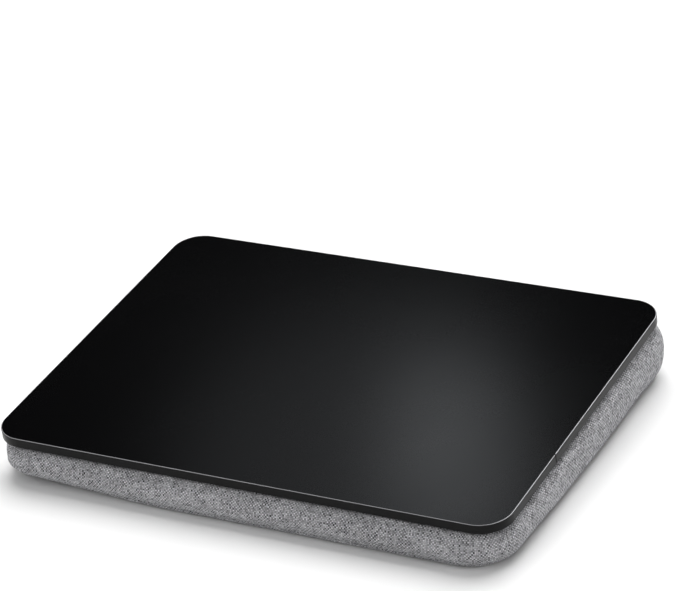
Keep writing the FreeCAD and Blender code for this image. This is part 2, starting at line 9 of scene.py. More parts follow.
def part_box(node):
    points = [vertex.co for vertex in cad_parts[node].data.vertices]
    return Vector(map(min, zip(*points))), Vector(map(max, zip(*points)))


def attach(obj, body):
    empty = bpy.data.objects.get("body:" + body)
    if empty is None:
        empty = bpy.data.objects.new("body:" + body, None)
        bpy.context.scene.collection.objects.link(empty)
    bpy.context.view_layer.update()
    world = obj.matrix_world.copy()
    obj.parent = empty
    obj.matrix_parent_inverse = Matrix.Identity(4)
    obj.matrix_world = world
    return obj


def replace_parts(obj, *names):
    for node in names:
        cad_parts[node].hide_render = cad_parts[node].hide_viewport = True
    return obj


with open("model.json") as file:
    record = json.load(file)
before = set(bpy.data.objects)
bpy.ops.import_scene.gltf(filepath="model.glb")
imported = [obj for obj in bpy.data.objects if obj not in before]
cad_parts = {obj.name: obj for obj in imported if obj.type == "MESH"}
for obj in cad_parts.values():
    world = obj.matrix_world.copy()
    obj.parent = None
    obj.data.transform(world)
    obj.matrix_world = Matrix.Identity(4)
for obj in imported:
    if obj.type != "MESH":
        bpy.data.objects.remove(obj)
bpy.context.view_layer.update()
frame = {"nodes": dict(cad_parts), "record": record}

# Metres throughout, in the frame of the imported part: X to the user's right, Y away from the user, Z up.
MM = 0.001

# The board's place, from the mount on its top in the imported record.
tray_top = next(mount for mount in frame["record"]["mounts"] if mount["name"] == "tray_top")
TILT = math.atan2(-tray_top["axis"][1], tray_top["axis"][2])
BOARD_THICKNESS = 8 * MM
BOARD_RISE = tray_top["pos_m"][2] - BOARD_THICKNESS * math.cos(TILT)
# In the board's own tilted axes: the height of its top, and the edging's joint on its right-hand edge.
BOARD_TOP = tray_top["pos_m"][2] * math.cos(TILT) - tray_top["pos_m"][1] * math.sin(TILT)
BAND_JOINT = -55.6 * MM

# The cushion's wall: level by level a rounded rectangle, drawn in towards the floor and towards the board.
HALF_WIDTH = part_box("cover_side_band")[1].x
HALF_DEPTH = 163.5 * MM
CORNER_RADIUS = 37 * MM
BOTTOM_DRAW = 7 * MM
TOP_DRAW = 12.5 * MM
BOTTOM_TURN = math.radians(65)
TOP_TURN = math.radians(80)
# The wall's top row stops just short of the board.
TOP_SHARE = 0.994
# The back wall climbs by this much from the floor's level to the board's.
BACK_CLIMB = BOARD_RISE + HALF_DEPTH * TILT
# The zip's gap in the back wall lies between these shares of the climb.
ZIP_LOW_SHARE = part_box("cover_back_lower")[1].z / BACK_CLIMB
ZIP_HIGH_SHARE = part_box("cover_back_upper")[0].z / BACK_CLIMB
BACK_STRIP_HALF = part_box("cover_back_upper")[1].x

# Steps of the wall's mesh: along it, about 3.6 mm each, and up it.
LONG_STEPS = 100
SHORT_STEPS = 70
CORNER_STEPS = 16
BOTTOM_STEPS = 5
UPRIGHT_STEPS = 4
TOP_STEPS = 6
# The row of the wall where the floor panel is sewn on, counted from the floor.
SEAM_ROW = 2

# Cloth: the wall starts drawn in by this much, is blown up, and may move by no more than the limit.
START_SHRINK = 0.8 * MM
MOVE_LIMIT = 5 * MM
CLOTH_FRAMES = 20
CLOTH_PRESSURE = 4.0
# The filling pushes in soft lumps: their length, and the push's mean and spread.
LUMP_LENGTH = 55 * MM
PUSH_MEAN = 0.75
PUSH_SPREAD = 0.5

# Sewn edges: each panel's edge is sunk a little and turned in under it.
FABRIC_THICKNESS = 0.8 * MM
SEAM_HALF_GAP = 0.06 * MM
SEAM_SINK = 0.5 * MM
TURN_DEPTH = 2.4 * MM
# Gathers along the floor panel's seam, by row and weight.
PUCKER_LENGTH = 11 * MM
PUCKER_HEIGHT = 0.44 * MM
PUCKER_ROWS = ((SEAM_ROW - 1, 0.5), (SEAM_ROW + 1, 1.0), (SEAM_ROW + 2, 0.4))


def perimeter():
    """Base points and outward directions of the wall's columns, clockwise from the back's left end."""
    inner_x = HALF_WIDTH - CORNER_RADIUS
    inner_y = HALF_DEPTH - CORNER_RADIUS
    corners = ((inner_x, inner_y), (inner_x, -inner_y), (-inner_x, -inner_y), (-inner_x, inner_y))
    bases = []
    ways = []
    for side, steps in enumerate((LONG_STEPS, SHORT_STEPS, LONG_STEPS, SHORT_STEPS)):
        start = np.array(corners[side - 1])
        end = np.array(corners[side])
        facing = math.pi / 2 * (1 - side)
        for step in range(steps):
            bases.append(start + (end - start) * step / steps)
            ways.append((math.cos(facing), math.sin(facing)))
        for step in range(CORNER_STEPS):
            angle = facing - math.pi / 2 * step / CORNER_STEPS
            bases.append(end)
            ways.append((math.cos(angle), math.sin(angle)))
    return np.array(bases), np.array(ways)


BASES, WAYS = perimeter()
COLUMNS = len(BASES)
# Columns where the side band ends and the two strips above and below the zip begin.
BACK_HALF = HALF_WIDTH - CORNER_RADIUS
STRIP_START = round((BACK_HALF - BACK_STRIP_HALF) / (2 * BACK_HALF) * LONG_STEPS)
STRIP_END = LONG_STEPS - STRIP_START


def draw_at(share):
    """How far the wall is drawn in at a share of its height."""
    if share < ZIP_LOW_SHARE:
        angle = math.asin(math.sin(BOTTOM_TURN) * (1 - share / ZIP_LOW_SHARE))
        return BOTTOM_DRAW * (1 - math.cos(angle)) / (1 - math.cos(BOTTOM_TURN))
    if share > ZIP_HIGH_SHARE:
        angle = math.asin(math.sin(TOP_TURN) * (share - ZIP_HIGH_SHARE) / (1 - ZIP_HIGH_SHARE))
        return TOP_DRAW * (1 - math.cos(angle)) / (1 - math.cos(TOP_TURN))
    return 0.0


def wall_shares():
    """Shares of the height at the wall's rows, from the floor to the board."""
    shares = []
    for step in range(BOTTOM_STEPS, 0, -1):
        angle = BOTTOM_TURN * step / BOTTOM_STEPS
        shares.append(ZIP_LOW_SHARE * (1 - math.sin(angle) / math.sin(BOTTOM_TURN)))
    for step in range(UPRIGHT_STEPS):
        shares.append(ZIP_LOW_SHARE + (ZIP_HIGH_SHARE - ZIP_LOW_SHARE) * step / UPRIGHT_STEPS)
    for step in range(TOP_STEPS + 1):
        angle = TOP_TURN * step / TOP_STEPS
        shares.append(ZIP_HIGH_SHARE + (TOP_SHARE - ZIP_HIGH_SHARE) * math.sin(angle) / math.sin(TOP_TURN))
    return shares


SHARES = wall_shares()
ZIP_LOW_ROW = BOTTOM_STEPS
ZIP_HIGH_ROW = BOTTOM_STEPS + UPRIGHT_STEPS
# Rows of the zip's gap and of its two edges, which the cloth simulation holds.
GAP_ROWS = slice(ZIP_LOW_ROW - 1, ZIP_HIGH_ROW + 2)

# Columns of the corners' middles, and of the fullest place of the right side, from its front end.
BACK_RIGHT = LONG_STEPS + CORNER_STEPS // 2
FRONT_RIGHT = BACK_RIGHT + CORNER_STEPS + SHORT_STEPS
FRONT_LEFT = BACK_RIGHT + COLUMNS // 2
BACK_LEFT = FRONT_RIGHT + COLUMNS // 2
SWELL_SHARE = 0.45
RIGHT_SWELL = FRONT_RIGHT - CORNER_STEPS // 2 - round(SWELL_SHARE * SHORT_STEPS)
# Where the wall leaves its plain form, most at the middle column and fading out over the reach, in columns.
# It bulges half way up, and at the floor it is tucked in (or let out, where the tuck is negative) and lifted.
SHAPINGS = (
    {"middle": BACK_RIGHT, "reach": 13, "bulge": 4.5 * MM, "tuck": 0, "lift": 0},
    {"middle": RIGHT_SWELL, "reach": 50, "bulge": 2.6 * MM, "tuck": -1.3 * MM, "lift": 0},
    {"middle": FRONT_RIGHT, "reach": 26, "bulge": 1.5 * MM, "tuck": 1 * MM, "lift": 0.6 * MM},
    {"middle": FRONT_LEFT, "reach": 42, "bulge": -1.2 * MM, "tuck": 8 * MM, "lift": 2 * MM},
    {"middle": BACK_LEFT, "reach": 13, "bulge": 4.5 * MM, "tuck": 0, "lift": 0},
)


def fade_of(shaping):
    """Weight of a shaping at each column."""
    away = np.arange(COLUMNS) - shaping["middle"]
    away = np.abs((away + COLUMNS // 2) % COLUMNS - COLUMNS // 2)
    return np.cos(math.pi / 2 * np.minimum(1, away / shaping["reach"])) ** 2


def level_points(share, inset):
    """Points of the wall's columns at a share of its height, moved in by an inset."""
    flat = BASES + WAYS * (CORNER_RADIUS - inset)
    turn = share * TILT
    rise = share * BOARD_RISE
    return np.stack((flat[:, 0], flat[:, 1] * math.cos(turn), rise + flat[:, 1] * math.sin(turn)), axis=1)


def wall_points(shrink=0.0):
    """Grid of the wall's points, rows by columns. The shrink is largest half way up."""
    grid = []
    for row, share in enumerate(SHARES):
        middle = math.sin(math.pi * row / (len(SHARES) - 1))
        low = max(0.0, 1 - share / ZIP_LOW_SHARE)
        level = level_points(share, draw_at(share) + shrink * middle)
        for shaping in SHAPINGS:
            fade = fade_of(shaping)
            level[:, :2] += WAYS * (fade * (shaping["bulge"] * middle - shaping["tuck"] * low))[:, None]
            level[:, 2] += fade * shaping["lift"] * low
        grid.append(level)
    return np.array(grid)


def new_object(name, points, faces):
    """Smooth mesh object from points and faces, linked to the scene."""
    mesh = bpy.data.meshes.new(name)
    mesh.from_pydata([tuple(point) for point in points], [], faces)
    mesh.validate()
    mesh.polygons.foreach_set("use_smooth", [True] * len(mesh.polygons))
    item = bpy.data.objects.new(name, mesh)
    bpy.context.scene.collection.objects.link(item)
    return item


def ring_faces(rows):
    """Faces of a closed wall of that many rows, facing outwards."""
    faces = []
    for row in range(rows - 1):
        low = row * COLUMNS
        high = low + COLUMNS
        for column in range(COLUMNS):
            following = (column + 1) % COLUMNS
            faces.append((low + column, high + column, high + following, low + following))
    return faces


def closed_form(name, grid):
    """Closed form from a grid of wall rows, with one flat face at each end."""
    rows = len(grid)
    faces = ring_faces(rows)
    faces.append(tuple(range(COLUMNS)))
    faces.append(tuple(reversed(range((rows - 1) * COLUMNS, rows * COLUMNS))))
    return new_object(name, grid.reshape(-1, 3), faces)


def weigh_cloth(cover, points, held):
    """Vertex groups of the cloth: which points are held, and how hard the filling pushes each."""
    pins = cover.vertex_groups.new(name="pins")
    push = cover.vertex_groups.new(name="push")
    for index, weight in enumerate(held):
        pins.add([index], weight, "REPLACE")
        lump = noise.noise(Vector(points[index]) / LUMP_LENGTH)
        push.add([index], PUSH_MEAN + PUSH_SPREAD * lump, "REPLACE")


def blown_points(cover):
    """Points of the cloth at the end of its simulation."""
    cloth = cover.modifiers.new("cloth", "CLOTH")
    settings = cloth.settings
    settings.quality = 6
    settings.mass = 0.001
    settings.tension_stiffness = 3
    settings.compression_stiffness = 3
    settings.shear_stiffness = 1
    settings.bending_stiffness = 0.05
    settings.use_pressure = True
    settings.uniform_pressure_force = CLOTH_PRESSURE
    settings.vertex_group_mass = "pins"
    settings.vertex_group_pressure = "push"
    settings.effector_weights.gravity = 0
    cloth.collision_settings.use_collision = False
    cloth.point_cache.frame_start = 1
    cloth.point_cache.frame_end = CLOTH_FRAMES
    for step in range(1, CLOTH_FRAMES + 1):
        bpy.context.scene.frame_set(step)
    evaluated = cover.evaluated_get(bpy.context.evaluated_depsgraph_get())
    return np.array([vertex.co for vertex in evaluated.data.vertices])


def simulated_wall():
    """The cover's wall, blown up as cloth between its sewn edges and the zip, which stay where they are."""
    start = wall_points(START_SHRINK)
    strip = slice(STRIP_START, STRIP_END + 1)
    start[GAP_ROWS, strip] = wall_points()[GAP_ROWS, strip]
    held = np.zeros(start.shape[:2])
    held[0] = 1
    held[-1] = 1
    held[GAP_ROWS, strip] = 1
    points = start.reshape(-1, 3)
    cover = new_object("cloth_form", points, ring_faces(len(start)))
    weigh_cloth(cover, points, held.ravel())
    move = blown_points(cover).reshape(start.shape) - start
    bpy.data.objects.remove(cover)
    bpy.context.scene.frame_set(1)
    reach = np.linalg.norm(move, axis=2, keepdims=True)
    return start + move * (MOVE_LIMIT / np.maximum(reach, MOVE_LIMIT))


def unit(vectors):
    """Vectors brought to a length of one."""
    return vectors / np.linalg.norm(vectors, axis=-1, keepdims=True)


def grid_normals(grid):
    """Outward unit normals of a grid of wall points that closes on itself."""
    across = np.roll(grid, -1, axis=1) - np.roll(grid, 1, axis=1)
    return unit(np.cross(np.gradient(grid, axis=0), across))


def pucker(grid):
    """Small gathers along the seam of the floor panel."""
    normals = grid_normals(grid)
    for row, weight in PUCKER_ROWS:
        lift = [noise.noise(Vector(point) / PUCKER_LENGTH) for point in grid[row]]
        grid[row] += normals[row] * np.array(lift)[:, None] * PUCKER_HEIGHT * weight
    return grid


def turn_low_edge(grid, normals, weave):
    """Sink a grid's first row into the seam and turn its edge in under it."""
    along = unit(grid[1] - grid[0])
    edge = grid[0] + along * SEAM_HALF_GAP - normals[0] * SEAM_SINK
    turned = edge - normals[0] * TURN_DEPTH + along * SEAM_HALF_GAP
    grid = np.concatenate((turned[None], edge[None], grid[1:]))
    normals = np.concatenate((normals[:1], normals))
    weave = np.concatenate((2 * weave[:1] - weave[1:2], weave))
    return grid, normals, weave


def turn_edges(grid, normals, weave):
    """Turn in a grid's four edges: first and last row, first and last column."""
    held = [grid, normals, weave]
    for swap, flip in ((False, False), (False, True), (True, False), (True, True)):
        if swap:
            held = [array.swapaxes(0, 1) for array in held]
        if flip:
            held = [array[::-1] for array in held]
        held = list(turn_low_edge(*held))
        if flip:
            held = [array[::-1] for array in held]
        if swap:
            held = [array.swapaxes(0, 1) for array in held]
    return held


def add_weave(item, weave):
    """Keep the cloth's own flat coordinates, in metres, as a point attribute for its weave."""
    layer = item.data.attributes.new("weave", "FLOAT_VECTOR", "POINT")
    flat = np.zeros((len(item.data.vertices), 3), np.float32)
    flat[:, :2] = weave
    layer.data.foreach_set("vector", flat.ravel())


def grid_faces(rows, columns):
    """Faces of an open grid, facing outwards."""
    return [
        (row * columns + column, (row + 1) * columns + column,
         (row + 1) * columns + column + 1, row * columns + column + 1)
        for row in range(rows - 1)
        for column in range(columns - 1)
    ]


def give_thickness(item, thickness=FABRIC_THICKNESS, offset=-1):
    """Give a sheet its thickness, inwards unless the offset says otherwise."""
    solid = item.modifiers.new("thickness", "SOLIDIFY")
    solid.thickness = thickness
    solid.offset = offset


def smooth(item):
    """Round a sheet's mesh off."""
    rounded = item.modifiers.new("smooth", "SUBSURF")
    rounded.levels = 1
    rounded.render_levels = 1


def weave_of(grid):
    """Flat coordinates of a grid of wall points: along its middle row and up its middle column."""
    rows, columns = grid.shape[:2]
    along = np.linalg.norm(np.diff(grid[rows // 2], axis=0), axis=1)
    up = np.linalg.norm(np.diff(grid[:, columns // 2], axis=0), axis=1)
    u = np.concatenate(([0], np.cumsum(along)))
    v = np.concatenate(([0], np.cumsum(up)))
    return np.stack(np.meshgrid(u, v), axis=2)


def cover_strip(name, wall, normals, rows, columns):
    """A sewn strip of the wall: some of its rows and columns, with the edges turned in."""
    grid = wall[rows[0]:rows[1] + 1][:, columns]
    held = normals[rows[0]:rows[1] + 1][:, columns]
    grid, _, weave = turn_edges(grid, held, weave_of(grid))
    item = new_object(name, grid.reshape(-1, 3), grid_faces(*grid.shape[:2]))
    add_weave(item, weave.reshape(-1, 2))
    give_thickness(item)
    smooth(item)
    return item


def cap_grid(ring):
    """Structured grid that fills a ring of wall points, between the middles of its four corners."""
    long_side = LONG_STEPS + CORNER_STEPS
    short_side = SHORT_STEPS + CORNER_STEPS
    loop = np.roll(ring, CORNER_STEPS // 2, axis=0)
    loop = np.concatenate((loop, loop[:1]))
    back = loop[:long_side + 1]
    right = loop[long_side:long_side + short_side + 1]
    front = loop[long_side + short_side:2 * long_side + short_side + 1][::-1]
    left = loop[2 * long_side + short_side:][::-1]
    u = np.linspace(0, 1, long_side + 1)[None, :, None]
    v = np.linspace(0, 1, short_side + 1)[:, None, None]
    across = (1 - v) * back[None] + v * front[None]
    along = (1 - u) * left[:, None] + u * right[:, None]
    back_ends = (1 - u) * back[0] + u * back[-1]
    front_ends = (1 - u) * front[0] + u * front[-1]
    return across + along - (1 - v) * back_ends - v * front_ends


def panel_faces(deep, wide, ring_count):
    """Faces of the floor panel: the grid on the floor, then the rings that climb from its rim."""
    index = np.arange(deep * wide).reshape(deep, wide)
    rim = np.concatenate((index[0, :-1], index[:-1, -1], index[-1, :0:-1], index[:0:-1, 0]))
    rings = index.size + np.arange(ring_count * COLUMNS).reshape(-1, COLUMNS)
    rings = np.concatenate((np.roll(rim, -(CORNER_STEPS // 2))[None], rings)).tolist()
    faces = [tuple(reversed(face)) for face in grid_faces(deep, wide)]
    for lower, upper in zip(rings, rings[1:]):
        for column in range(COLUMNS):
            following = (column + 1) % COLUMNS
            faces.append((lower[column], upper[column], upper[following], lower[following]))
    return faces


def floor_panel(wall, normals):
    """The panel that lies on the floor, turned up to its seam, with its upper edge turned in."""
    low = wall[:SEAM_ROW + 1][::-1]
    out = normals[:SEAM_ROW + 1][::-1]
    grid = turn_low_edge(low, out, np.zeros(low.shape))[0][::-1]
    cap = cap_grid(grid[0])
    cap[..., 2] = np.maximum(cap[..., 2], 0)
    points = np.concatenate((cap.reshape(-1, 3), grid[1:].reshape(-1, 3)))
    item = new_object("floor_panel", points, panel_faces(*cap.shape[:2], len(grid) - 1))
    climb = np.cumsum(np.linalg.norm(np.diff(grid, axis=0), axis=2), axis=0)
    turned_up = grid[0, :, :2] + WAYS * climb[..., None]
    add_weave(item, np.concatenate((cap[..., :2].reshape(-1, 2), turned_up.reshape(-1, 2))))
    give_thickness(item)
    return item


# Strips that fasten the cushion to the board lie in shallow wells of the lining.
STRIP_LENGTH = 90 * MM
STRIP_WIDTH = 25 * MM
WELL_MARGIN = 4 * MM
WELL_DEPTH = 1.9 * MM


def lining_panel(wall):
    """The flat lining under the board, with a well for each fastening strip."""
    grid = cap_grid(wall[-1])
    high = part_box("loop_strips")[1]
    from_x = np.abs(np.abs(grid[..., 0]) - (high.x - STRIP_LENGTH / 2))
    from_y = np.abs(np.abs(grid[..., 1]) - (high.y - STRIP_WIDTH / 2))
    in_well = (from_x < STRIP_LENGTH / 2 + WELL_MARGIN) & (from_y < STRIP_WIDTH / 2 + WELL_MARGIN)
    grid[..., 2] -= WELL_DEPTH * in_well
    item = new_object("lining_panel", grid.reshape(-1, 3), grid_faces(*grid.shape[:2]))
    add_weave(item, grid.reshape(-1, 3)[:, :2])
    give_thickness(item)
    return item


# Finishes. Nearly all of a noise texture's values lie in this range.
NOISE_LOW = 0.3
NOISE_HIGH = 0.7


class Graph:
    """A material's nodes, with short calls for those that the finishes share."""

    def __init__(self, name, **constants):
        self.material = bpy.data.materials.new(name)
        self.material.use_nodes = True
        self.nodes = self.material.node_tree.nodes
        self.links = self.material.node_tree.links
        self.shader = self.nodes["Principled BSDF"]
        for key, value in constants.items():
            self.shader.inputs[key.replace("_", " ")].default_value = value

    def feed(self, socket, value):
        """Link a node's output to a socket, or set the socket to a constant."""
        if isinstance(value, bpy.types.NodeSocket):
            self.links.new(value, socket)
        else:
            socket.default_value = value

    def node(self, kind, inputs, **settings):
        """A new node with its inputs fed and its settings made."""
        made = self.nodes.new(kind)
        for key, value in settings.items():
            setattr(made, key, value)
        for key, value in inputs.items():
            self.feed(made.inputs[key], value)
        return made

    def math(self, operation, first, second=0.0):
        return self.node("ShaderNodeMath", {0: first, 1: second}, operation=operation).outputs[0]

    def plus(self, first, second):
        return self.math("ADD", first, second)

    def minus(self, first, second):
        return self.math("SUBTRACT", first, second)

    def times(self, first, second):
        return self.math("MULTIPLY", first, second)

    def total(self, *weighted):
        """Sum of values times weights, given as pairs."""
        found = 0.0
        for value, weight in weighted:
            found = self.plus(found, self.times(value, weight))
        return found

    def split(self, vector):
        return self.node("ShaderNodeSeparateXYZ", {0: vector}).outputs

    def join(self, x, y, z=0.0):
        return self.node("ShaderNodeCombineXYZ", {0: x, 1: y, 2: z}).outputs[0]

    def attribute(self, name):
        return self.node("ShaderNodeAttribute", {}, attribute_name=name).outputs["Vector"]

    def normal(self):
        """The surface's normal in the object's own axes."""
        return self.node("ShaderNodeTexCoord", {}).outputs["Normal"]

    def place(self, turn=0.0, scale=(1, 1, 1)):
        """Object coordinates, turned about X and scaled."""
        found = self.node("ShaderNodeTexCoord", {}).outputs["Object"]
        inputs = {"Vector": found, "Rotation": (turn, 0, 0)}
        turned = self.node("ShaderNodeMapping", inputs).outputs[0]
        return self.node("ShaderNodeVectorMath", {0: turned, 1: scale}, operation="MULTIPLY").outputs[0]

    def noise(self, vector, scale=1.0, detail=2.0, roughness=0.5):
        inputs = {"Vector": vector, "Scale": scale, "Detail": detail, "Roughness": roughness}
        return self.node("ShaderNodeTexNoise", inputs).outputs[0]

    def cells(self, vector):
        """A random value for each whole-number place."""
        return self.node("ShaderNodeTexWhiteNoise", {"Vector": vector}).outputs[0]

    def span(self, value, from_low, from_high, to_low=0.0, to_high=1.0):
        """A value's range mapped to another, and held inside it."""
        inputs = {0: value, 1: from_low, 2: from_high, 3: to_low, 4: to_high}
        return self.node("ShaderNodeMapRange", inputs).outputs[0]

    def spread(self, value, low=0.0, high=1.0):
        """A noise's range mapped to another."""
        return self.span(value, NOISE_LOW, NOISE_HIGH, low, high)

    def blend(self, factor, first, second):
        """Blend of two colours by a factor."""
        return self.node("ShaderNodeMix", {0: factor, 6: first, 7: second}, data_type="RGBA").outputs[2]

    def colour(self, value):
        self.feed(self.shader.inputs["Base Color"], value)

    def roughness(self, value):
        self.feed(self.shader.inputs["Roughness"], value)

    def bump(self, height, distance, strength=1.0):
        inputs = {"Height": height, "Distance": distance, "Strength": strength}
        self.feed(self.shader.inputs["Normal"], self.node("ShaderNodeBump", inputs).outputs[0])


def grey(value, tint=1.04):
    """A grey with a slightly cool tint."""
    return (value, value, value * tint, 1.0)


# The cover's weave. Its threads sway by up to this many threads, over patches of this fineness.
SWAY = 1.2
SWAY_SCALE = 90
# What a thread's tone is made of: warp or weft, its own yarn with slubs, and flecks at its crossings.
OVER_WEIGHT = 0.33
YARN_WEIGHT = 0.29
FLECK_WEIGHT = 0.38
SLUB_WEIGHT = 0.28
# Faint streaks of the fibres and broad clouds, either side of that tone.
FIBRE_CONTRAST = 0.16
CLOUD_CONTRAST = 0.05
# A thread sinks to this share of its height where it dives, and its crevices are painted with shade that
# keeps this share of its tone.
DIVE = 0.45
CREVICE_PAINTED_SHADE = 0.35
# Both fade out at this height, of a thread that is one high.
FULL_HEIGHT = 0.7


def thread_height(g, u, v, over):
    """Rounded height of the thread on top, which dives at both ends of its float."""
    hump_u = g.math("SINE", g.times(g.math("FRACT", u), math.pi))
    hump_v = g.math("SINE", g.times(g.math("FRACT", v), math.pi))
    warp = g.times(hump_u, g.span(hump_v, 0, FULL_HEIGHT, DIVE, 1.0))
    weft = g.times(hump_v, g.span(hump_u, 0, FULL_HEIGHT, DIVE, 1.0))
    return g.span(over, 0, 1, warp, weft)


def melange_weave(name, dark, light, pitch):
    """Plain weave of mixed dark and light yarn with slubs, in the cloth's own coordinates."""
    g = Graph(name, Specular_IOR_Level=0.2, Sheen_Weight=0.15, Sheen_Roughness=0.5)
    place = g.attribute("weave")
    x, y, _ = g.split(place)
    sway = g.times(g.minus(g.noise(place, scale=SWAY_SCALE, detail=1), 0.5), SWAY)
    u = g.plus(g.math("DIVIDE", x, pitch), sway)
    v = g.plus(g.math("DIVIDE", y, pitch), sway)
    column = g.math("FLOOR", u)
    row = g.math("FLOOR", v)
    over = g.math("FLOORED_MODULO", g.plus(column, row), 2.0)

    def thread_noise(across, step, stretch, layers, detail):
        """Noise of the thread on top, by a step across the threads and a stretch along them."""
        warp_place = g.join(g.times(across[0], step), g.times(v, stretch), layers[0])
        weft_place = g.join(g.times(u, stretch), g.times(across[1], step), layers[1])
        return g.span(over, 0, 1, g.noise(warp_place, detail=detail), g.noise(weft_place, detail=detail))

    shade = thread_noise((column, row), step=7.31, stretch=0.22, layers=(0.0, 5.0), detail=2)
    slub = thread_noise((column, row), step=3.77, stretch=0.05, layers=(9.0, 13.0), detail=1)
    streak = thread_noise((u, v), step=6.0, stretch=1.0, layers=(17.0, 21.0), detail=3)
    yarn = g.total((shade, 1 - SLUB_WEIGHT), (slub, SLUB_WEIGHT))
    fleck = g.cells(g.join(column, row))
    fibre = g.spread(streak, -FIBRE_CONTRAST, FIBRE_CONTRAST)
    cloud = g.spread(g.noise(place, scale=14, detail=3), -CLOUD_CONTRAST, CLOUD_CONTRAST)
    tone = g.total((over, OVER_WEIGHT), (g.span(yarn, 0.44, 0.56), YARN_WEIGHT), (fleck, FLECK_WEIGHT))
    tone = g.plus(tone, g.plus(cloud, fibre))
    height = thread_height(g, u, v, over)
    # Painted shade: the tone darkens where the threads dive, in the crevices between them.
    tone = g.times(tone, g.span(height, 0.0, FULL_HEIGHT, CREVICE_PAINTED_SHADE, 1.0))
    g.colour(g.blend(tone, grey(dark), grey(light)))
    g.bump(g.plus(height, g.times(yarn, 0.8)), distance=0.25 * MM, strength=0.8)
    g.roughness(g.span(tone, 0, 1, 0.85, 0.97))
    return g.material


def satin_film(name, dark, light, roughness, specular):
    """Black film with a fine pebbled grain."""
    g = Graph(name, Specular_IOR_Level=specular)
    place = g.place()
    grain = g.noise(place, scale=1800, detail=2)
    cloud = g.noise(place, scale=9, detail=3)
    tone = g.span(g.total((grain, 0.6), (cloud, 0.4)), 0.35, 0.65)
    g.colour(g.blend(tone, grey(dark, tint=1.2), grey(light, tint=1.2)))
    g.roughness(g.spread(g.total((cloud, 0.7), (grain, 0.3)), roughness - 0.015, roughness + 0.015))
    g.bump(grain, distance=0.02 * MM, strength=0.15)
    return g.material


# The edging's bevel, which carries its painted highlight, fades in and out between these heights of its
# normal.
BEVEL_FROM = (0.62, 0.72)
BEVEL_TO = (0.96, 0.88)
# The bevel's painted highlight reaches this far down from the board's top.
HIGHLIGHT_DEPTH = 0.3 * MM
# The line of glue fades out between these distances from the joint.
GLUE_INNER = 0.6 * MM
GLUE_OUTER = 0.9 * MM
# Fineness of the edging's grain along X, along Y and up its face.
EDGING_GRAIN = (40, 40, 2600)


def grained_edging(name, dark, light, highlight_tone):
    """Plastic edging with a fine grain that runs round the board, with a pale painted highlight on its upper
    arris.

    A dull line of glue lies along its butt joint, where the painted highlight stops.
    """
    g = Graph(name, Specular_IOR_Level=0.12)
    facing = g.split(g.normal())[2]
    bevel = g.times(g.span(facing, *BEVEL_FROM), g.span(facing, *BEVEL_TO))
    x, y, z = g.split(g.place(-TILT))
    lower = g.span(z, BOARD_TOP - HIGHLIGHT_DEPTH, BOARD_TOP - 1.2 * HIGHLIGHT_DEPTH)
    dull = g.times(bevel, lower)
    beside = g.math("ABSOLUTE", g.minus(y, BAND_JOINT))
    glue = g.times(g.span(beside, GLUE_OUTER, GLUE_INNER), g.math("GREATER_THAN", x, 0.0))
    # Painted highlight: a pale tone on the top of the bevel, which stops at the glue.
    arris = g.times(g.minus(bevel, dull), g.minus(1.0, glue))
    streaks = g.noise(g.place(-TILT, EDGING_GRAIN), detail=3, roughness=0.6)
    fine = g.noise(g.place(), scale=1500, detail=2)
    tone = g.spread(g.total((streaks, 0.7), (fine, 0.3)))
    g.colour(g.blend(arris, g.blend(tone, grey(dark), grey(light)), grey(highlight_tone)))
    g.roughness(g.plus(g.spread(streaks, 0.26, 0.36), g.times(g.math("MAXIMUM", glue, dull), 0.6)))
    g.bump(streaks, distance=0.03 * MM, strength=0.4)
    return g.material


def speckled(name, dark, light, scale, roughness, depth, warm=1.0, specular=0.3):
    """Mottled finish, for boards, foam, wadding, lining, fastening strips and moulded plastic."""
    g = Graph(name, Specular_IOR_Level=specular)
    place = g.place()
    fine = g.noise(place, scale=scale, detail=4, roughness=0.6)
    coarse = g.noise(place, scale=scale / 12, detail=2)
    tone = g.spread(g.total((fine, 0.7), (coarse, 0.3)))
    low = (dark, dark * warm, dark * warm ** 2, 1)
    high = (light, light * warm, light * warm ** 2, 1)
    g.colour(g.blend(tone, low, high))
    g.roughness(g.spread(coarse, roughness - 0.06, roughness + 0.06))
    g.bump(fine, distance=depth, strength=0.6)
    return g.material


def painted_metal(name, dark, light):
    """Dark painted die-casting with a faint orange peel."""
    g = Graph(name, Metallic=0.35, Specular_IOR_Level=0.5)
    place = g.place()
    peel = g.noise(place, scale=900, detail=2)
    wear = g.noise(place, scale=260, detail=4, roughness=0.65)
    g.colour(g.blend(g.span(wear, 0.45, 0.75), grey(dark), grey(light)))
    g.roughness(g.spread(wear, 0.28, 0.42))
    g.bump(peel, distance=0.03 * MM, strength=0.4)
    return g.material


def ribbed_tape(name, dark, light, pitch):
    """Woven tape with a fine zigzag rib, in the cloth's own coordinates."""
    g = Graph(name, Specular_IOR_Level=0.2, Sheen_Weight=0.1)
    place = g.attribute("weave")
    x, y, _ = g.split(place)
    slant = g.math("PINGPONG", y, 2 * MM)
    rib = g.math("SINE", g.times(g.plus(x, slant), 2 * math.pi / pitch))
    fibre = g.noise(place, scale=1800, detail=2)
    tone = g.span(g.total((rib, 0.3), (fibre, 0.7)), 0.0, 0.8)
    g.colour(g.blend(tone, grey(dark), grey(light)))
    g.roughness(g.spread(fibre, 0.8, 0.95))
    g.bump(g.total((rib, 0.5), (fibre, 0.3)), distance=0.12 * MM, strength=0.7)
    return g.material


